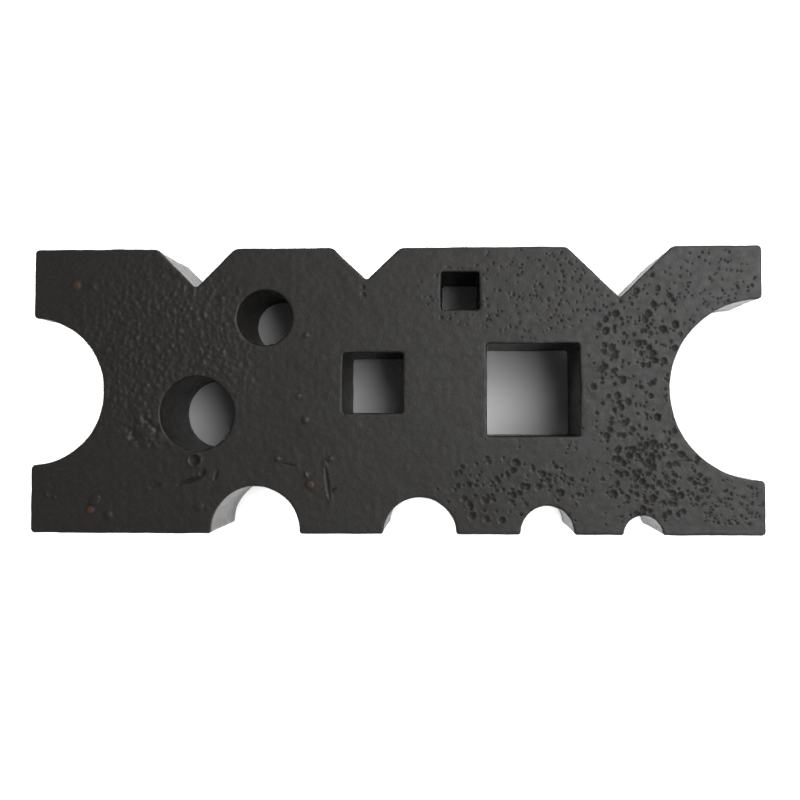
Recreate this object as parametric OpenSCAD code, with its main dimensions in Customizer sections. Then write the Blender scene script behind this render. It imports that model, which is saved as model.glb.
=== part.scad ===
// Swage block: one flat iron casting, lying on its face
// Vee grooves run along the far edge, half-round grooves along the near edge,
// a large half-round hollow is in each end, and punching holes go through from face to face
// X runs along the length, Y from the near edge to the far edge, Z up
// The origin is at the middle of the face that the block lies on

/* [Block] */
// Length of the block
block_l = 312; // [255:1:400]
// Width of the block, from the near edge to the far edge
block_w = 122.5; // [102:0.5:160]
// Thickness of the block, from face to face
block_t = 51; // [25:0.5:80]
// Radius of the four outer corners in plan
corner_r = 2; // [0.5:0.5:5]
// Bevel on the edges around both faces
face_bevel = 0.8; // [0.3:0.1:1.5]

/* [End hollows] */
// Diameter of the hollow in the left end
left_hollow_d = 63; // [45:0.5:72]
// How far the left hollow's middle lies inside the end, negative where it lies outside
left_hollow_sink = -0.5; // [-4:0.5:4]
// Diameter of the hollow in the right end
right_hollow_d = 76; // [50:0.5:80]
// How far the right hollow's middle lies inside the end, negative where it lies outside
right_hollow_sink = 1; // [-4:0.5:4]
// Height of the left hollow's middle above the block's centre line
left_hollow_rise = -0.5; // [-6:0.5:6]
// Radius of the lips at the mouths of the two hollows
hollow_lip_r = 2; // [0.5:0.5:4]

/* [Vee grooves, from the left] */
// Width of the first vee at its mouth
vee_1_w = 33.5; // [20:0.5:40]
// Depth of the first vee
vee_1_depth = 17; // [10:0.5:20]
// Width of the second vee at its mouth
vee_2_w = 29; // [20:0.5:35]
// Depth of the second vee
vee_2_depth = 14; // [8:0.5:17]
// Width of the third vee at its mouth
vee_3_w = 44.5; // [30:0.5:54]
// Depth of the third vee
vee_3_depth = 22; // [14:0.5:26]
// Radius of the lips where the vees meet the far edge
vee_lip_r = 4.5; // [1:0.5:6]
// Radius at the root of each vee
vee_root_r = 1.2; // [0.4:0.2:2]
// Land left of the first vee, as a part of what the vees leave of the far edge
vee_land_1 = 54; // [40:0.5:70]
// Land between the first two vees, as such a part
vee_land_2 = 42.5; // [35:0.5:60]
// Land between the last two vees, as such a part
vee_land_3 = 71; // [55:0.5:85]
// Land right of the last vee, as such a part
vee_land_4 = 37.5; // [30:0.5:50]

/* [Half-round grooves, from the left] */
// Diameter of the first half-round
round_1_d = 37.5; // [24:0.5:45]
// How far the first half-round's middle lies inside the near edge
round_1_sink = 1.25; // [-2:0.25:2]
// Diameter of the second half-round
round_2_d = 30.5; // [20:0.5:37]
// How far the second half-round's middle lies inside the near edge
round_2_sink = 0.25; // [-2:0.25:2]
// Diameter of the third half-round
round_3_d = 22; // [16:0.5:27]
// How far the third half-round's middle lies inside the near edge
round_3_sink = 1; // [-2:0.25:2]
// Diameter of the fourth half-round
round_4_d = 16; // [10:0.5:20]
// How far the fourth half-round's middle lies inside the near edge
round_4_sink = 0; // [-2:0.25:2]
// Radius of the lips where the half-rounds meet the near edge
round_lip_r = 1.5; // [0.5:0.5:3]
// Land left of the first half-round, as a part of what the half-rounds leave of the near edge
round_land_1 = 78.5; // [60:0.5:90]
// Land between the first two half-rounds, as such a part
round_land_2 = 36; // [25:0.5:50]
// Land between the second and third half-rounds, as such a part
round_land_3 = 27.5; // [20:0.5:40]
// Land between the last two half-rounds, as such a part
round_land_4 = 21; // [15:0.5:30]
// Land right of the last half-round, as such a part
round_land_5 = 43; // [30:0.5:55]

/* [Holes along the middle, from the left] */
// Diameter of the large round hole
large_bore_d = 31.5; // [20:0.5:38]
// Height of the large round hole's middle above the centre line
large_bore_rise = -10; // [-12:0.5:6]
// Side of the middle square hole
middle_square_w = 25.5; // [16:0.5:31]
// Height of the middle square hole's middle above the centre line
middle_square_rise = 3; // [-5:0.5:5]
// Side of the large square hole
large_square_w = 39; // [24:0.5:44]
// Height of the large square hole's middle above the centre line
large_square_rise = 0; // [-4:0.5:4]
// Wall between the left hollow and the large round hole, as a part of what the holes leave
middle_wall_1 = 25; // [20:1:35]
// Wall between the large round hole and the middle square hole, as such a part
middle_wall_2 = 47; // [35:1:60]
// Wall between the two square holes, as such a part
middle_wall_3 = 36; // [28:1:45]
// Wall between the large square hole and the right hollow, as such a part
middle_wall_4 = 38; // [28:1:45]

/* [Holes near the far edge] */
// Diameter of the small round hole
small_bore_d = 23.5; // [14:0.5:26]
// Wall between the small round hole and the far edge
small_bore_wall = 18.5; // [14:0.5:22]
// Place of the small round hole on the land between the first two vees, from 0 at its left end to 1
small_bore_along = 0.31; // [0.2:0.01:0.8]
// Side of the small square hole
small_square_w = 16; // [10:0.5:19]
// Wall between the small square hole and the far edge
small_square_wall = 11; // [9:0.5:14]
// Place of the small square hole on the land between the last two vees, from 0 at its left end to 1
small_square_along = 0.36; // [0.25:0.01:0.75]
// Radius in the corners of the square holes
square_corner_r = 1; // [0.4:0.2:2]

/* [Hidden] */
iron = [0.25, 0.245, 0.23];
bore_fn = 96;
arc_steps = 4;
// How far a cut runs past the surface that it leaves through
over = 5;

vee_w = [vee_1_w, vee_2_w, vee_3_w];
vee_depth = [vee_1_depth, vee_2_depth, vee_3_depth];
vee_lands = [vee_land_1, vee_land_2, vee_land_3, vee_land_4];
round_d = [round_1_d, round_2_d, round_3_d, round_4_d];
round_sink = [round_1_sink, round_2_sink, round_3_sink, round_4_sink];
round_lands = [round_land_1, round_land_2, round_land_3, round_land_4, round_land_5];
middle_w = [large_bore_d, middle_square_w, large_square_w];
middle_walls = [middle_wall_1, middle_wall_2, middle_wall_3, middle_wall_4];

left_x = -block_l / 2;
right_x = block_l / 2;
far_y = block_w / 2;
near_y = -block_w / 2;
left_crown_x = left_x + left_hollow_sink + left_hollow_d / 2;
right_crown_x = right_x - right_hollow_sink - right_hollow_d / 2;

// Sum of a list's first n values
function first(values, n) = n == 0 ? 0 : values[n - 1] + first(values, n - 1);
function total(values) = first(values, len(values));

// Middle of the feature numbered i in a row from one end to the other
// The features keep their widths, and the gaps share what is left in proportion to their parts
function spaced(i, widths, gaps, from, to) =
    from + first(widths, i) + widths[i] / 2
    + (to - from - total(widths)) * first(gaps, i + 1) / total(gaps);

function vee_x(i) = spaced(i, vee_w, vee_lands, left_x, right_x);
function round_x(i) = spaced(i, round_d, round_lands, left_x, right_x);
function middle_x(i) = spaced(i, middle_w, middle_walls, left_crown_x, right_crown_x);

// Point on the land that follows the vee numbered i, at a share of the land's length
function on_vee_land(i, share) =
    let (start = vee_x(i) + vee_w[i] / 2, end = vee_x(i + 1) - vee_w[i + 1] / 2)
    start + share * (end - start);

// Points along an arc
function arc(middle, r, from, to) =
    [for (i = [0:arc_steps]) let (a = from + (to - from) * i / arc_steps)
        middle + r * [cos(a), sin(a)]];

function mirrored(points) = [for (i = [len(points) - 1:-1:0]) [-points[i].x, points[i].y]];

// Outline of a square hole with rounded corners
function square_points(w) =
    let (reach = w / 2 - square_corner_r)
    [for (turn = [0:3]) let (a = 45 + 90 * turn)
        each arc(reach * [sign(cos(a)), sign(sin(a))], square_corner_r, a - 45, a + 45)];

// Angle between a vee's flank and the edge that the vee is cut in
function flank_angle(w, depth) = atan2(depth, w / 2);

// A vee's two straight flanks and its root, without lips, opening towards +Y
function vee_points(w, depth) =
    let (a = flank_angle(w, depth), rise = over, spread = rise / tan(a))
    concat([[-w / 2 - spread, rise]],
        arc([0, vee_root_r / cos(a) - depth], vee_root_r, 270 - a, 270 + a),
        [[w / 2 + spread, rise]]);

// Flat shapes in plan: each is drawn with the block's edge on the X axis, and opens towards +Y
module vee_lips(w, depth) {
    a = flank_angle(w, depth);
    lip = arc([-w / 2 - vee_lip_r * tan(a / 2), -vee_lip_r], vee_lip_r, 90, 90 - a);
    polygon(concat([[lip[0].x, over]], lip, mirrored(lip), [[-lip[0].x, over]]));
}

module vee_plan(w, depth) {
    polygon(vee_points(w, depth));
    vee_lips(w, depth);
}

// The lip touches the edge and the hollow's own circle, so both run on into it
module hollow_plan(d, sink, lip_r) {
    reach = sqrt(pow(d / 2 + lip_r, 2) - pow(lip_r - sink, 2));
    turn = atan2(sink - lip_r, reach);
    lip = arc([-reach, -lip_r], lip_r, 90, -turn);
    translate([0, -sink])
        circle(d = d, $fn = bore_fn);
    polygon(concat([[-reach, over]], lip, [[0, -sink]], mirrored(lip), [[reach, over]]));
}

module blank_plan() {
    x = block_l / 2 - corner_r;
    y = block_w / 2 - corner_r;
    polygon(concat(arc([x, y], corner_r, 0, 90), arc([-x, y], corner_r, 90, 180),
        arc([-x, -y], corner_r, 180, 270), arc([x, -y], corner_r, 270, 360)));
}

// Places for the flat shapes and for the cuts that follow them
module at_vee(i) translate([vee_x(i), far_y]) children();
module at_round(i) translate([round_x(i), near_y]) rotate(180) children();
module at_left_hollow() translate([left_x, left_hollow_rise]) rotate(90) children();
module at_right_hollow() translate([right_x, 0]) rotate(-90) children();
module at_large_bore() translate([middle_x(0), large_bore_rise]) children();
module at_middle_square() translate([middle_x(1), middle_square_rise]) children();
module at_large_square() translate([middle_x(2), large_square_rise]) children();

module at_small_bore()
    translate([on_vee_land(0, small_bore_along), far_y - small_bore_wall - small_bore_d / 2])
        children();

module at_small_square()
    translate([on_vee_land(1, small_square_along), far_y - small_square_wall - small_square_w / 2])
        children();

module outline() {
    difference() {
        blank_plan();
        for (i = [0:len(vee_w) - 1])
            at_vee(i) vee_plan(vee_w[i], vee_depth[i]);
        for (i = [0:len(round_d) - 1])
            at_round(i) hollow_plan(round_d[i], round_sink[i], round_lip_r);
        at_left_hollow() hollow_plan(left_hollow_d, left_hollow_sink, hollow_lip_r);
        at_right_hollow() hollow_plan(right_hollow_d, right_hollow_sink, hollow_lip_r);
    }
}

// A box's side view with its four corners bevelled
module bevelled_profile(w, h) {
    side = w / 2;
    inset = side - face_bevel;
    polygon([[-side, face_bevel], [-inset, 0], [inset, 0], [side, face_bevel],
        [side, h - face_bevel], [inset, h], [-inset, h], [-side, h - face_bevel]]);
}

module bevelled_box() {
    intersection() {
        translate([0, block_w, 0]) rotate([90, 0, 0])
            linear_extrude(2 * block_w) bevelled_profile(block_l, block_t);
        translate([-block_l, 0, 0]) rotate([90, 0, 90])
            linear_extrude(2 * block_l) bevelled_profile(block_w, block_t);
    }
}

// Repeats a cut that is drawn at the upper face at the lower face too
module both_faces() {
    children();
    translate([0, 0, block_t]) mirror([0, 0, 1]) children();
}

// Bevel round a circular hole or hollow, drawn at the upper face
module round_bevel(d)
    translate([0, 0, block_t - 2 * face_bevel])
        cylinder(h = 3 * face_bevel, d1 = d - 2 * face_bevel, d2 = d + 4 * face_bevel, $fn = bore_fn);

// Everything to the left of the line from p to q, leaning outwards at 45 degrees as it rises
module leaning_side(p, q)
    translate([p.x, p.y, block_t - face_bevel])
        rotate([0, 0, atan2(q.y - p.y, q.x - p.x)]) rotate([45, 0, 0])
            translate([-block_l, 0, -block_l]) cube(2 * block_l);

// Bevel round a hole with flat sides, whose points run anticlockwise
module flat_bevel(points) {
    last = len(points) - 1;
    intersection() {
        translate([-block_l, -block_l, block_t - 2 * face_bevel])
            cube([2 * block_l, 2 * block_l, 3 * face_bevel]);
        intersection_for (i = [0:last])
            leaning_side(points[i], points[i == last ? 0 : i + 1]);
    }
}

module through_cut()
    translate([0, 0, -over]) linear_extrude(block_t + 2 * over) children();

module round_hole(d) {
    through_cut() circle(d = d, $fn = bore_fn);
    both_faces() round_bevel(d);
}

module square_hole(w) {
    through_cut() polygon(square_points(w));
    both_faces() flat_bevel(square_points(w));
}

module groove_bevels() {
    for (i = [0:len(vee_w) - 1])
        at_vee(i) both_faces() flat_bevel(vee_points(vee_w[i], vee_depth[i]));
    for (i = [0:len(round_d) - 1])
        at_round(i) translate([0, -round_sink[i]]) both_faces() round_bevel(round_d[i]);
    at_left_hollow() translate([0, -left_hollow_sink]) both_faces() round_bevel(left_hollow_d);
    at_right_hollow() translate([0, -right_hollow_sink]) both_faces() round_bevel(right_hollow_d);
}

module block_casting() {
    color(iron)
        difference() {
            intersection() {
                linear_extrude(block_t) outline();
                bevelled_box();
            }
            groove_bevels();
            at_large_bore() round_hole(large_bore_d);
            at_small_bore() round_hole(small_bore_d);
            at_middle_square() square_hole(middle_square_w);
            at_large_square() square_hole(large_square_w);
            at_small_square() square_hole(small_square_w);
        }
}

block_casting();
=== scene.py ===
# Swage block: the rough surface of one flat iron casting, and the plain studio that shows it
import math
from collections import namedtuple

import bpy
import numpy as np
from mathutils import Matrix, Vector, geometry, kdtree


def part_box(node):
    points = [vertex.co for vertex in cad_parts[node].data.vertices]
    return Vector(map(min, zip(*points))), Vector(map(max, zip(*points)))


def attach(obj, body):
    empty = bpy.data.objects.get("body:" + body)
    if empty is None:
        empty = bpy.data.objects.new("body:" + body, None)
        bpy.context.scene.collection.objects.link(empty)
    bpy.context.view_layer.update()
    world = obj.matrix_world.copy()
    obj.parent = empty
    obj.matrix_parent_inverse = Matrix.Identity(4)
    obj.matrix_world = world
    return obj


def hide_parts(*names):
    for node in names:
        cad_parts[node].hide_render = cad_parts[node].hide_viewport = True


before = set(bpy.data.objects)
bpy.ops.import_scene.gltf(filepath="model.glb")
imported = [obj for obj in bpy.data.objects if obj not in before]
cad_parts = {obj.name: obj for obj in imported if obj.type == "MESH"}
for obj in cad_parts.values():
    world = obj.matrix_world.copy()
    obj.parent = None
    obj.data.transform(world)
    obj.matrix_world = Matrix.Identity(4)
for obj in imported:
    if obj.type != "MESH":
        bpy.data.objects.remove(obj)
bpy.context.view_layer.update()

# Lengths are in millimetres until the mesh is made
MM = 0.001
NODE = "block_casting"
BODY = "root"

node_low, node_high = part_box(NODE)
block_l, block_w, block_t = [(high - low) / MM for low, high in zip(node_low, node_high)]

# Spacing of the mesh
EDGE_STEP = 0.95
EDGE_TURN = math.radians(12)
EDGE_RINGS = 4
LEAST_CHORD = 0.05
FINE_STEP = 0.62
COARSE_STEP = 1.05
UNDER_STEP = 2.0
WALL_STEP = 3.2
LEAST_GAP = 0.24

# Rounding of the edges around both faces
EDGE_R = 0.75
EDGE_R_SPREAD = 0.3
# The casting's skin lies this far inside the true face, and its highest bumps reach the face
SKIN = 0.42
# Points of the face stay this far from the rounded edges
EDGE_CLEARANCE = 0.4
# A ring's point is kept if the nearest rim point is at least this part of the ring's offset away
RING_CLEAR = 0.93
WALL_ROWS = round(block_t / WALL_STEP)

# A mark's spacing of points, and how far its points, its shape and its lip reach in parts of its size
LEAST_MARK_STEP = 0.27
ROW_RATIO = 0.87
MARK_POINTS_REACH = 1.3
MARK_REACH = 1.6
LIP_AT = 1.15
LIP_SPREAD = 0.22

# Warm iron at the -X end and lighter, greyer iron at the +X end, the key light's side: the change from one
# to the other along X is a painted sheen, and random mottle moves it about
WARM_IRON = (0.030, 0.0265, 0.0225, 1)
COOL_IRON_AND_SHEEN = (0.034, 0.033, 0.031, 1)
DARK_IRON = (0.019, 0.017, 0.015, 1)
LIGHT_GRAIN = (0.06, 0.057, 0.053, 1)
# The dark colour laid in the dents and in a ring round the foot of each bump
DARKENING_TINT = (0.011, 0.009, 0.008, 1)
RUST = (0.14, 0.05, 0.018, 1)
FLOOR_WHITE = (0.92, 0.92, 0.92, 1)
ROOM_WHITE = (0.9, 0.93, 1, 1)

# The studio, in metres
FLOOR_HALF = 3.0
KEY_LIGHT = dict(azimuth=20, elevation=60, distance=1.5, width=1.05, power=16)
FLOOR_LIGHT = dict(elevation=35, distance=2.0, width=1.6, power=60, height=0.9)

# The camera: its place in millimetres and its turn in degrees
SENSOR_MM = 36
LENS_MM = 47.606
LENS_SHIFT = (-0.01296, -0.04364)
CAMERA_AT = (25.9, -12.6, 500.1)
CAMERA_TURN = (2.945, 2.365, -0.007)


# Repeatable noise

def hashed(ix, iy, iz, seed):
    """A repeatable number from -1 to 1 for each whole-numbered place"""
    h = (ix * 73856093 ^ iy * 19349663 ^ iz * 83492791 ^ seed * 26544357) & 0xFFFFFFFF
    h = (h ^ h >> 15) * 0x2C1B3C6D & 0xFFFFFFFF
    h = (h ^ h >> 12) * 0x297A2D39 & 0xFFFFFFFF
    return ((h ^ h >> 15) & 0xFFFFFF) / 0x7FFFFF - 1.0


def solid(points, z=0.0):
    """Plan points as points in space"""
    return np.column_stack([points, np.full(len(points), z)]) if points.shape[1] == 2 else points


def noise(points, cell, seed):
    """Smooth noise from -1 to 1, with one swell in each cell"""
    q = solid(points) / cell
    low = np.floor(q).astype(np.int64)
    f = q - low
    f = f * f * f * (f * (6 * f - 15) + 10)
    total = np.zeros(len(q))
    for corner in range(8):
        step = np.array([corner & 1, corner >> 1 & 1, corner >> 2])
        weight = np.prod(np.where(step, f, 1 - f), axis=1)
        total += weight * hashed(*(low + step).T, seed)
    return total


def layered(points, cell, layers, seed):
    """Noise with finer and weaker noise on top of it"""
    return sum(noise(points, cell / 2 ** i, seed + i) / 2 ** i for i in range(layers))


def pebbles(points, cell, seed):
    """Round bumps from 0 to 1, one in each cell, of uneven size and height"""
    q = points[:, :2] / cell
    low = np.floor(q).astype(np.int64)
    highest = np.zeros(len(q))
    for dx in (-1, 0, 1):
        for dy in (-1, 0, 1):
            ix, iy = low[:, 0] + dx, low[:, 1] + dy
            middle_x = ix + 0.5 + 0.42 * hashed(ix, iy, 0, seed)
            middle_y = iy + 0.5 + 0.42 * hashed(ix, iy, 1, seed)
            reach = 0.62 + 0.22 * hashed(ix, iy, 2, seed)
            height = 0.6 + 0.4 * hashed(ix, iy, 3, seed)
            away = ((q[:, 0] - middle_x) ** 2 + (q[:, 1] - middle_y) ** 2) / reach ** 2
            highest = np.maximum(highest, height * np.clip(1 - away, 0, 1) ** 1.3)
    return highest


def patch(points, x, y, half_l, half_w, edge=0.35):
    """1 inside a rounded patch of the plan and 0 outside it, with a soft edge"""
    q = np.hypot((points[:, 0] - x) / half_l, (points[:, 1] - y) / half_w)
    return np.clip((1 + edge - q) / (2 * edge), 0, 1)


# The outline and the holes, read from the CAD node at half its height

def section_loops(mesh, level):
    """Closed loops of plan points where the walls cross a level, with the iron to the left"""
    mesh.calc_loop_triangles()
    follows = {}
    for triangle in mesh.loop_triangles:
        corners = [mesh.vertices[i].co / MM for i in triangle.vertices]
        sides = zip(corners, corners[1:] + corners[:1])
        cuts = [a.lerp(b, (level - a.z) / (b.z - a.z)) for a, b in sides
                if (a.z < level) != (b.z < level)]
        if len(cuts) == 2:
            outward = (corners[1] - corners[0]).cross(corners[2] - corners[0])
            along = cuts[1] - cuts[0]
            if along.x * -outward.y + along.y * outward.x < 0:
                cuts.reverse()
            start, end = [(round(c.x, 3), round(c.y, 3)) for c in cuts]
            if start != end:
                follows[start] = end
    loops = []
    while follows:
        start, point = follows.popitem()
        loop = [start]
        while point != start:
            loop.append(point)
            point = follows.pop(point)
        loops.append(np.array(loop))
    return sorted(loops, key=lambda loop: -np.ptp(loop[:, 0]))


def turns(loop):
    """How far the path turns at each point"""
    into = loop - np.roll(loop, 1, axis=0)
    out = np.roll(loop, -1, axis=0) - loop
    return np.arctan2(into[:, 0] * out[:, 1] - into[:, 1] * out[:, 0], (into * out).sum(1))


def unit(vectors):
    return vectors / np.linalg.norm(vectors, axis=1, keepdims=True)


def rounded_loop(loop):
    """Even points along a smooth curve through a loop's corners, and the way into the iron at each"""
    loop = loop[np.linalg.norm(loop - np.roll(loop, 1, axis=0), axis=1) > LEAST_CHORD]
    loop = loop[np.abs(turns(loop)) > math.radians(0.6)]
    chord = np.roll(loop, -1, axis=0) - loop
    length = np.linalg.norm(chord, axis=1, keepdims=True)
    tangent = unit(np.roll(loop, -1, axis=0) - np.roll(loop, 1, axis=0))
    points, ways = [], []
    for i in range(len(loop)):
        j = (i + 1) % len(loop)
        a, b = loop[i], loop[j]
        run = length[i, 0]
        start, end = tangent[i] * run, tangent[j] * run
        turn = math.acos(max(-1, min(1, tangent[i] @ tangent[j])))
        parts = max(math.ceil(run / EDGE_STEP), math.ceil(turn / EDGE_TURN))
        for t in np.arange(parts) / parts:
            points.append((2 * t ** 3 - 3 * t ** 2 + 1) * a + (t ** 3 - 2 * t ** 2 + t) * start
                          + (3 * t ** 2 - 2 * t ** 3) * b + (t ** 3 - t ** 2) * end)
            ways.append(6 * (t ** 2 - t) * (a - b) + (3 * t ** 2 - 4 * t + 1) * start
                        + (3 * t ** 2 - 2 * t) * end)
    ways = unit(np.array(ways))
    return np.array(points), np.column_stack([-ways[:, 1], ways[:, 0]])


# Marks on the faces: a mark is a dent, or a bump if its depth is negative
# long and wide are its half sizes, turn is the direction of its length in degrees
Mark = namedtuple("Mark", "x y long wide turn depth lip grime rust")


def mark(x, y, long, wide=None, turn=0, depth=0.4, lip=0.0, grime=0.6, rust=0.0):
    return Mark(x, y, long, wide or long, turn, depth, lip, grime, rust)


def scattered(count, patches, size, depth, seed, lip=0.0, grime=0.8):
    """Round dents at random places in the patches

    A patch is its middle, its half length and half width, and its share of the dents
    """
    rng = np.random.default_rng(seed)
    shares = np.array([p[4] for p in patches], float)
    marks = []
    for _ in range(count):
        x, y, half_l, half_w, _ = patches[rng.choice(len(patches), p=shares / shares.sum())]
        angle = rng.uniform(0, math.tau)
        out = math.sqrt(rng.uniform())
        r = size[0] + (size[1] - size[0]) * rng.uniform() ** 2.2
        marks.append(mark(x + half_l * out * math.cos(angle), y + half_w * out * math.sin(angle),
                          r * rng.uniform(1.0, 1.35), r, rng.uniform(0, 180),
                          depth * r * rng.uniform(0.6, 1.3), lip * r, grime * rng.uniform(0.6, 1.1)))
    return marks


UPPER_MARKS = [
    # Bumps on the left end
    mark(-137.5, 45.5, 2.2, depth=-0.4, grime=0.5, rust=0.5),
    mark(-130.4, 45.3, 2.6, depth=-0.3, grime=0.3),
    mark(-127.9, -47.3, 3.2, 2.0, 50, depth=-0.5, grime=0.7),
    mark(-129.9, -51.3, 1.8, depth=-0.55, grime=0.9, rust=0.7),
    mark(-122.0, -53.4, 1.9, depth=-0.4, grime=0.6),
    mark(-149.0, -44.9, 1.0, depth=-0.3),
    mark(-145.5, -46.0, 0.9, depth=-0.3),
    mark(-82.8, -49.8, 2.3, 1.8, 20, depth=-0.4),
    # Bumps between the large round hole and the middle
    mark(-74.1, 39.6, 1.4, depth=-0.3),
    mark(-37.3, 23.5, 1.3, depth=-0.4),
    mark(-40.6, -2.6, 1.2, depth=-0.3, rust=0.3),
    mark(-37.6, -12.8, 1.7, depth=-0.4),
    mark(-49.5, -29.4, 1.4, depth=-0.4),
    mark(-26.8, -29.4, 1.5, 1.1, 40, depth=-0.4),
    mark(-37.0, -36.2, 1.7, 0.9, 110, depth=-0.4),
    mark(-35.3, -40.4, 2.1, 1.8, 120, depth=-0.55, grime=0.9, rust=0.3),
    # Blow holes and gouges
    mark(-85.1, -29.9, 2.4, depth=1.1, lip=0.25, grime=1.0),
    mark(-86.8, -38.6, 6.8, 0.9, 18, depth=0.8, lip=0.1, grime=1.0),
    mark(-81.5, -35.6, 2.2, 1.2, 60, depth=0.6, lip=0.1, grime=1.0),
    mark(-75.6, -36.2, 2.8, 0.7, 70, depth=0.5, grime=0.8),
    mark(-101.8, -41.0, 3.2, 0.8, 20, depth=0.4, grime=0.7),
    mark(-44.3, -31.9, 3.6, 0.4, -10, depth=0.3),
    mark(-28.0, -39.5, 7.6, 0.8, -82, depth=0.45, lip=0.12),
    mark(-25.5, -42.4, 2.2, 0.5, 35, depth=0.4),
    mark(-12.9, 44.0, 0.9, depth=0.4),
    mark(-12.9, 41.0, 0.9, depth=0.4),
    mark(40.0, 30.0, 0.7, depth=0.4),
]

# Patches of dents, as scattered() takes them
LARGE_BLOW_HOLES = [(104, 8, 20, 44, 5), (110, -38, 22, 16, 3), (50, -42, 32, 14, 2)]
SMALL_BLOW_HOLES = [(95, 0, 60, 58, 4), (55, 42, 45, 18, 2), (140, -48, 16, 10, 1), (135, 48, 20, 12, 1)]
LOWER_DENTS = [(0, 0, 150, 55, 1)]


def upper_face_marks():
    """The listed marks, then the blow holes"""
    large = scattered(520, LARGE_BLOW_HOLES, (0.5, 1.5), 0.42, 5, 0.08)
    small = scattered(700, SMALL_BLOW_HOLES, (0.35, 0.6), 0.5, 6)
    return UPPER_MARKS + large + small


def upper_relief(points):
    """Height of the upper face's rough skin above its mean level"""
    lumpy = upper_lumpiness(points)
    rough = patch(points, -107.5, -17.5, 7.5, 7.5)
    swell = 0.1 * noise(points, 26, 11) + 0.05 * noise(points, 9, 12)
    lumps = 0.30 * pebbles(points, 2.6, 21) + 0.20 * pebbles(points, 1.7, 22)
    grain = 0.045 * layered(points, 1.9, 2, 31)
    broken = 0.55 * layered(points, 3.4, 3, 41)
    return swell + lumpy * lumps + (1 - 0.5 * lumpy) * grain + rough * broken


def upper_lumpiness(points):
    """How lumpy the upper face is: most on the left, least on the right"""
    left = patch(points, -98, 18, 40, 42, 0.4)
    lower_left = 0.4 * patch(points, -100, -40, 45, 18, 0.4)
    middle = 0.35 * patch(points, -40, 0, 45, 60, 0.5)
    return np.clip(np.maximum(np.maximum(left, lower_left), middle), 0, 1)


def lower_relief(points):
    """Height of the lower face's skin, cast against the mould's floor"""
    return 0.1 * noise(points, 30, 51) + 0.2 * pebbles(points, 5.5, 52) + 0.05 * layered(points, 4.2, 2, 53)


# The mesh

def hex_points(step, seed):
    """Points over the whole plan, a little shuffled"""
    rows = np.arange(-block_w / 2, block_w / 2, step * math.sqrt(0.75))
    columns = np.arange(-block_l / 2, block_l / 2, step)
    x, y = np.meshgrid(columns, rows)
    x[1::2] += step / 2
    shift = np.random.default_rng(seed).uniform(-0.14, 0.14, (2,) + x.shape) * step
    return np.column_stack([(x + shift[0]).ravel(), (y + shift[1]).ravel()])


def mark_points(m):
    """Extra points that carry a mark's shape"""
    step = min(FINE_STEP, max(LEAST_MARK_STEP, m.wide / 1.9))
    last_row = math.ceil(MARK_POINTS_REACH * m.wide / (ROW_RATIO * step))
    last_column = math.ceil(MARK_POINTS_REACH * m.long / step)
    rows = np.arange(-last_row, last_row + 1)
    columns = np.arange(-last_column, last_column + 1)
    u, v = np.meshgrid(columns * step, rows * ROW_RATIO * step)
    u = u + (np.abs(rows)[:, None] % 2) * step / 2
    keep = np.hypot(u / m.long, v / m.wide) < MARK_POINTS_REACH
    c, s = math.cos(math.radians(m.turn)), math.sin(math.radians(m.turn))
    return np.column_stack([m.x + u[keep] * c - v[keep] * s, m.y + u[keep] * s + v[keep] * c])


def tree_of(points):
    tree = kdtree.KDTree(len(points))
    for i, p in enumerate(points):
        tree.insert((p[0], p[1], 0.0), i)
    tree.balance()
    return tree


def spread_out(points, gap):
    """Leaves one point in each small square"""
    _, first = np.unique(np.round(points / gap).astype(np.int64), axis=0, return_index=True)
    return points[np.sort(first)]


def stamp(points, marks):
    """Depth of the dents and height of the bumps at each point, with how dark each point is painted and its
    rust
    """
    dent, bump, grime, rust = np.zeros((4, len(points)))
    tree = tree_of(points)
    for m in marks:
        near = [i for _, i, _ in tree.find_range((m.x, m.y, 0.0), MARK_REACH * max(m.long, m.wide))]
        if not near:
            continue
        near = np.array(near)
        dx, dy = (points[near] - (m.x, m.y)).T
        c, s = math.cos(math.radians(m.turn)), math.sin(math.radians(m.turn))
        q = np.hypot((dx * c + dy * s) / m.long, (dy * c - dx * s) / m.wide)
        bowl = np.clip(1 - q ** 2, 0, 1)
        rim = np.exp(-((q - LIP_AT) / LIP_SPREAD) ** 2)
        if m.depth > 0:
            dent[near] = np.maximum(dent[near], m.depth * bowl)
            bump[near] = np.maximum(bump[near], m.lip * rim)
            # Dents are painted darker towards their middle
            grime[near] = np.maximum(grime[near], m.grime * np.clip(1.5 * bowl, 0, 1))
        else:
            bump[near] = np.maximum(bump[near], -m.depth * bowl)
            # Bumps are painted darker in a ring round their foot
            grime[near] = np.maximum(grime[near], m.grime * rim)
        rust[near] = np.maximum(rust[near], m.rust * np.clip(1.5 * bowl, 0, 1))
    return bump - dent, grime, rust


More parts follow.
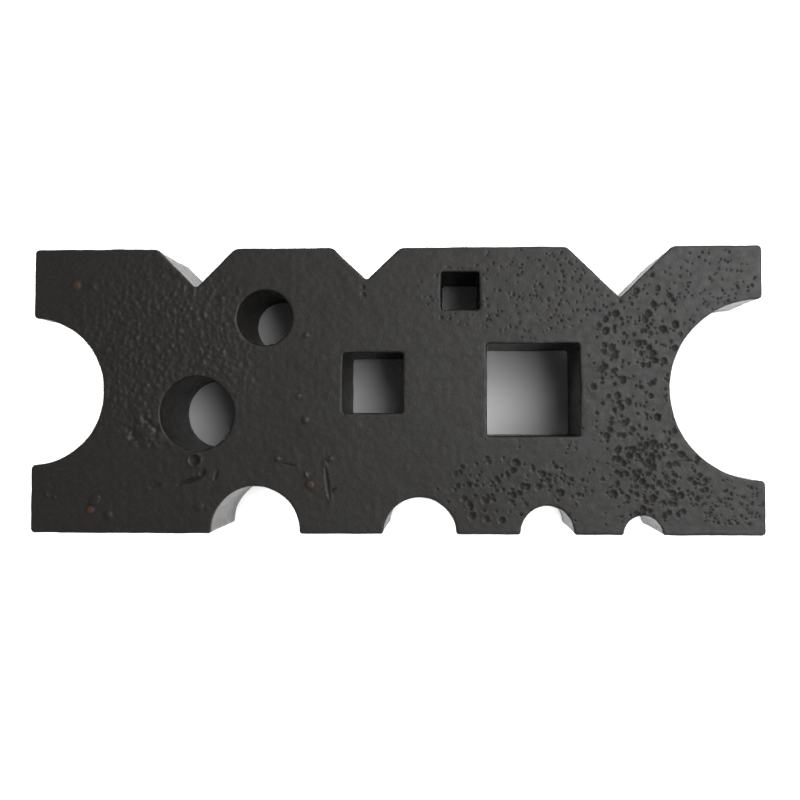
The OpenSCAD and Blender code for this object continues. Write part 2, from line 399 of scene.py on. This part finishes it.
def face(loops, relief, marks, inner, edge_r):
    """Points, triangles and finish of one face. Its first points are the loops' own, in order.

    Heights are measured from the true face, and none is above it
    """
    rim = np.concatenate([points for points, _ in loops])
    inward = np.concatenate([way for _, way in loops])
    rim_tree = tree_of(rim)
    rings = []
    lowered = []
    for ring in range(1, EDGE_RINGS + 1):
        angle = math.radians(90) * ring / EDGE_RINGS
        away = edge_r * (1 - math.cos(angle))
        points = rim + inward * away[:, None]
        clear = np.array([rim_tree.find((x, y, 0.0))[2] for x, y in points]) > RING_CLEAR * away
        rings.append(points[clear])
        lowered.append((edge_r * (1 - math.sin(angle)))[clear])
    inner = spread_out(np.concatenate([*[mark_points(m) for m in marks], inner]), LEAST_GAP)
    found = [rim_tree.find((x, y, 0.0)) for x, y in inner]
    nearest = np.array([f[1] for f in found])
    apart = np.array([f[2] for f in found])
    inside = ((inner - rim[nearest]) * inward[nearest]).sum(1) > 0
    inner = inner[inside & (apart > edge_r[nearest] + EDGE_CLEARANCE)]

    points = np.concatenate([rim, *rings, inner])
    drop = np.concatenate([edge_r, *lowered, np.zeros(len(inner))])
    stamped, grime, rust = stamp(points, marks)
    height = np.minimum(relief(points) - SKIN + stamped, 0) - drop
    starts = np.cumsum([0] + [len(p) for p, _ in loops])
    edges = [(a + i, a + (i + 1) % (b - a)) for a, b in zip(starts, starts[1:]) for i in range(b - a)]
    made = geometry.delaunay_2d_cdt([Vector(p) for p in points], edges, [], 0, 1e-7)
    triangles = np.array(made[2])
    own = np.array([ids[0] for ids in made[3]])
    triangles = own[triangles]
    on_rim = (triangles < len(rim)).all(axis=1)
    middle = points[triangles[on_rim]].mean(axis=1)
    nearest = np.array([rim_tree.find((x, y, 0.0))[1] for x, y in middle])
    outside = ((middle - rim[nearest]) * inward[nearest]).sum(1) < 0
    keep = np.ones(len(triangles), bool)
    keep[np.flatnonzero(on_rim)[outside]] = False
    return points, height, triangles[keep], grime, rust


def worn(loop):
    """A loop moved a little into the iron, unevenly"""
    points, inward = loop
    wear = 0.12 + 0.08 * noise(points, 7, 61) + 0.04 * noise(points, 2.3, 62)
    return points + inward * np.clip(wear, 0, None)[:, None], inward


def wall_points(rim, inward, top_z, low_z):
    """Rows of points down the rough walls, between the edges of the two faces"""
    walls = []
    for row in range(1, WALL_ROWS):
        t = row / WALL_ROWS
        z = top_z + (low_z - top_z) * t
        place = np.column_stack([rim, z])
        fade = min(1, 1.6 * math.sin(math.pi * t))
        push = 0.16 + 0.1 * noise(place, 9, 65) + 0.09 * layered(place, 3.0, 2, 66)
        shift = inward * (np.clip(push, 0, None) * fade)[:, None]
        walls.append(place + np.column_stack([shift, np.zeros(len(rim))]))
    return walls


def main_mesh():
    """One closed mesh of both faces and the walls, with darkening in the dents and round the bumps, and
    rust, as its finish colour
    """
    sections = section_loops(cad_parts[NODE].data, block_t / 2)
    loops = [worn(rounded_loop(loop)) for loop in sections]
    rim = np.concatenate([points for points, _ in loops])
    inward = np.concatenate([way for _, way in loops])
    fine = hex_points(FINE_STEP, 1)
    coarse = hex_points(COARSE_STEP, 2)
    inner = np.concatenate([fine[upper_lumpiness(fine) > 0.45], coarse[upper_lumpiness(coarse) <= 0.45]])
    edge_r = EDGE_R + EDGE_R_SPREAD * noise(rim, 8, 63)
    up = face(loops, upper_relief, upper_face_marks(), inner, edge_r)
    lower_marks = scattered(60, LOWER_DENTS, (1.2, 3.0), 0.3, 7)
    lower_edge_r = EDGE_R + EDGE_R_SPREAD * noise(rim, 8, 64)
    down = face(loops, lower_relief, lower_marks, hex_points(UNDER_STEP, 3), lower_edge_r)
    n = len(rim)
    walls = wall_points(rim, inward, block_t + up[1][:n], -down[1][:n])
    upper = np.column_stack([up[0], block_t + up[1]])
    under = np.column_stack([down[0], -down[1]])
    vertices = np.concatenate([upper, under, *walls])
    first_wall = len(upper) + len(under)

    def row_start(row):
        """Number of the first vertex in a row of the walls, the top row being 0"""
        if row == 0:
            return 0
        return len(upper) if row == WALL_ROWS else first_wall + (row - 1) * n

    faces = [tuple(t) for t in up[2]] + [tuple(t[::-1] + len(upper)) for t in down[2]]
    starts = np.cumsum([0] + [len(p) for p, _ in loops])
    for a, b in zip(starts, starts[1:]):
        after = a + (np.arange(b - a) + 1) % (b - a)
        for i, j in zip(range(a, b), after):
            for row in range(WALL_ROWS):
                here, below = row_start(row), row_start(row + 1)
                faces.append((here + i, below + i, below + j, here + j))
    mesh = bpy.data.meshes.new("cast_block")
    mesh.from_pydata((vertices * MM).tolist(), [], [list(map(int, f)) for f in faces])
    finish = np.zeros((len(vertices), 4), np.float32)
    finish[:len(upper), 0] = up[3]
    finish[:len(upper), 1] = up[4]
    finish[len(upper):first_wall, 0] = down[3]
    finish[:, 3] = 1
    layer = mesh.attributes.new("finish", "FLOAT_COLOR", "POINT")
    layer.data.foreach_set("color", finish.ravel())
    mesh.shade_smooth()
    mesh.validate()
    return mesh


# Materials

class Nodes:
    """Short ways to add nodes to a material"""

    def __init__(self, name):
        self.material = bpy.data.materials.new(name)
        self.material.use_nodes = True
        self.tree = self.material.node_tree
        self.shader = self.tree.nodes["Principled BSDF"]

    def link(self, value, socket):
        if isinstance(value, bpy.types.NodeSocket):
            self.tree.links.new(value, socket)
        else:
            socket.default_value = value

    def math(self, operation, a, b=0.0, clamp=False):
        node = self.tree.nodes.new("ShaderNodeMath")
        node.operation, node.use_clamp = operation, clamp
        self.link(a, node.inputs[0])
        self.link(b, node.inputs[1])
        return node.outputs[0]

    def remap(self, value, low, high, to_low=0.0, to_high=1.0):
        node = self.tree.nodes.new("ShaderNodeMapRange")
        for socket, v in zip(node.inputs, (value, low, high, to_low, to_high)):
            self.link(v, socket)
        return node.outputs[0]

    def mix(self, share, a, b, blend="MIX"):
        node = self.tree.nodes.new("ShaderNodeMix")
        node.data_type, node.blend_type = "RGBA", blend
        self.link(share, node.inputs[0])
        self.link(a, node.inputs[6])
        self.link(b, node.inputs[7])
        return node.outputs[2]

    def place(self):
        """Where a point is in the block's own frame, in millimetres"""
        coordinates = self.tree.nodes.new("ShaderNodeTexCoord")
        scale = self.tree.nodes.new("ShaderNodeVectorMath")
        scale.operation = "SCALE"
        scale.inputs["Scale"].default_value = 1 / MM
        self.tree.links.new(coordinates.outputs["Object"], scale.inputs[0])
        return scale.outputs[0]

    def noise(self, place, cell, detail=2.0, roughness=0.5):
        node = self.tree.nodes.new("ShaderNodeTexNoise")
        self.link(place, node.inputs["Vector"])
        node.inputs["Scale"].default_value = 1 / cell
        node.inputs["Detail"].default_value = detail
        node.inputs["Roughness"].default_value = roughness
        return node.outputs["Fac"]


def cast_iron():
    n = Nodes("cast_iron")
    place = n.place()
    attribute = n.tree.nodes.new("ShaderNodeAttribute")
    attribute.attribute_name = "finish"
    split = n.tree.nodes.new("ShaderNodeSeparateColor")
    n.link(attribute.outputs["Color"], split.inputs[0])
    grime, rust = split.outputs[0], split.outputs[1]
    axes = n.tree.nodes.new("ShaderNodeSeparateXYZ")
    n.link(place, axes.inputs[0])

    mottle = n.noise(place, 16, 3)
    cloud = n.noise(place, 3.2, 3)
    grain = n.noise(place, 0.75, 3, 0.6)
    # Painted sheen: the base colour goes lighter and greyer towards +X, the side of the key light, and the
    # mottle shifts it at random
    toward_sheen = n.remap(axes.outputs[0], -block_l / 2, block_l / 2)
    tone_and_sheen = n.math("ADD", toward_sheen, n.remap(mottle, 0.35, 0.65, -0.35, 0.35), True)
    colour = n.mix(tone_and_sheen, WARM_IRON, COOL_IRON_AND_SHEEN)
    colour = n.mix(n.remap(cloud, 0.45, 0.75, 0, 0.55), colour, DARK_IRON)
    colour = n.mix(n.remap(grain, 0.5, 0.75, 0, 0.6), colour, LIGHT_GRAIN)
    # Darker in the dents and in a ring round the foot of each bump
    colour = n.mix(n.math("MULTIPLY", grime, 0.8), colour, DARKENING_TINT)
    colour = n.mix(rust, colour, RUST)
    n.link(colour, n.shader.inputs["Base Color"])
    rough = n.math("ADD", n.remap(cloud, 0.3, 0.7, 0.42, 0.52), n.math("MULTIPLY", grime, 0.3))
    n.link(rough, n.shader.inputs["Roughness"])
    n.shader.inputs["Specular IOR Level"].default_value = 0.5
    bump = n.tree.nodes.new("ShaderNodeBump")
    bump.inputs["Strength"].default_value = 0.6
    bump.inputs["Distance"].default_value = 0.12 * MM
    height = n.math("ADD", n.math("MULTIPLY", cloud, 0.8), grain)
    n.link(height, bump.inputs["Height"])
    n.link(bump.outputs[0], n.shader.inputs["Normal"])
    return n.material


def floor_paint():
    n = Nodes("studio_floor")
    n.shader.inputs["Base Color"].default_value = FLOOR_WHITE
    n.shader.inputs["Roughness"].default_value = 0.9
    n.shader.inputs["Specular IOR Level"].default_value = 0.2
    return n.material


# The studio

def soft_light(name, azimuth, elevation, distance, width, power, height=None):
    """A soft box that looks at the block. Azimuth 0 is on the +X side and 90 on the +Y side"""
    a, e = math.radians(azimuth), math.radians(elevation)
    toward = Vector((math.cos(a) * math.cos(e), math.sin(a) * math.cos(e), math.sin(e)))
    data = bpy.data.lights.new(name, "AREA")
    data.shape = "RECTANGLE"
    data.size, data.size_y = width, height or width
    data.energy = power
    light = bpy.data.objects.new(name, data)
    light.location = toward * distance
    light.rotation_mode = "QUATERNION"
    light.rotation_quaternion = toward.to_track_quat("Z", "Y")
    bpy.context.scene.collection.objects.link(light)
    return light


def studio():
    """White floor, one soft light for the iron, and four that light only the floor"""
    mesh = bpy.data.meshes.new("floor")
    corners = [(-1, -1), (1, -1), (1, 1), (-1, 1)]
    mesh.from_pydata([(x * FLOOR_HALF, y * FLOOR_HALF, 0) for x, y in corners], [], [(0, 1, 2, 3)])
    mesh.materials.append(floor_paint())
    floor = bpy.data.objects.new("floor", mesh)
    bpy.context.scene.collection.objects.link(floor)
    soft_light("key_light", **KEY_LIGHT)
    backdrop = bpy.data.collections.new("backdrop")
    backdrop.objects.link(floor)
    for side in range(4):
        light = soft_light(f"floor_light_{side}", 45 + 90 * side, **FLOOR_LIGHT)
        light.light_linking.receiver_collection = backdrop
    world = bpy.data.worlds.new("room")
    world.use_nodes = True
    world.node_tree.nodes["Background"].inputs["Color"].default_value = ROOM_WHITE
    world.node_tree.nodes["Background"].inputs["Strength"].default_value = 0.1
    bpy.context.scene.world = world
    bpy.context.scene.view_settings.view_transform = "Standard"


def camera():
    """Looks down on the upper face from half a metre, a little off square"""
    data = bpy.data.cameras.new("camera")
    data.sensor_width = SENSOR_MM
    data.lens = LENS_MM
    data.shift_x, data.shift_y = LENS_SHIFT
    data.clip_start = 0.01
    made = bpy.data.objects.new("camera", data)
    made.location = Vector(CAMERA_AT) * MM
    made.rotation_euler = [math.radians(a) for a in CAMERA_TURN]
    bpy.context.scene.collection.objects.link(made)
    bpy.context.scene.camera = made


camera()
studio()
block = bpy.data.objects.new("cast_block", main_mesh())
bpy.context.scene.collection.objects.link(block)
block.data.materials.append(cast_iron())
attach(block, BODY)
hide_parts(NODE)
